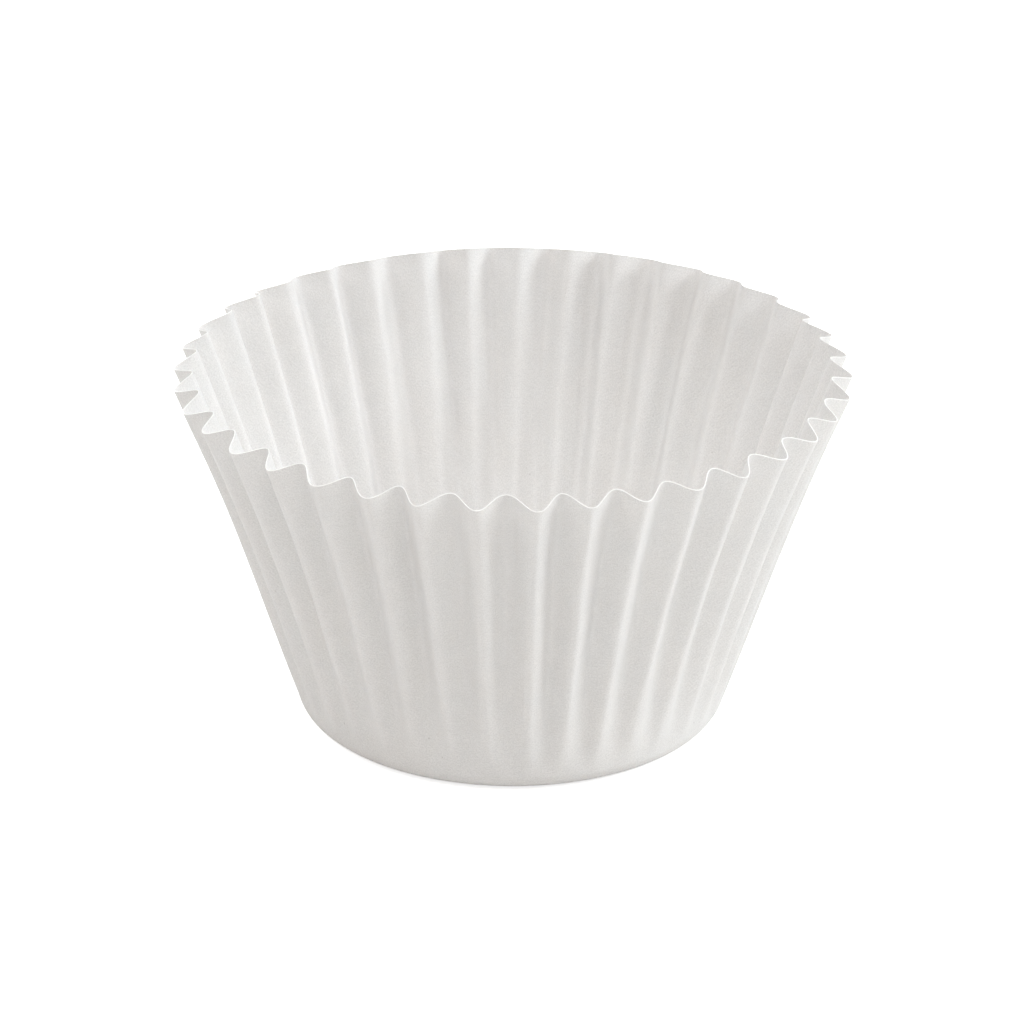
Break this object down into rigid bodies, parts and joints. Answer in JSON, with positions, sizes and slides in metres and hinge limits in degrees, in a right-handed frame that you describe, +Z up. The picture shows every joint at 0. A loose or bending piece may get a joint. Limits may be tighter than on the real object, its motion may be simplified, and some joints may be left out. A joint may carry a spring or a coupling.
{
  "type": "cupcake liner",
  "caption": "Round paper baking liner with a flat floor, a rounded bottom edge and a flared wall of upright flutes, open at its wavy rim.",
  "frame": {"origin": "centre of the flat floor's underside, on the surface that the liner stands on", "axes": "+Z up to the open rim, along the liner's axis; +X through the middle of a flute's outer ridge"},
  "size_m": [0.081, 0.0808, 0.0442],
  "materials": {
    "paper": "matte"
  },
  "bodies": {
    "root": {"liner": "paper"}
  },
  "joints": []
}
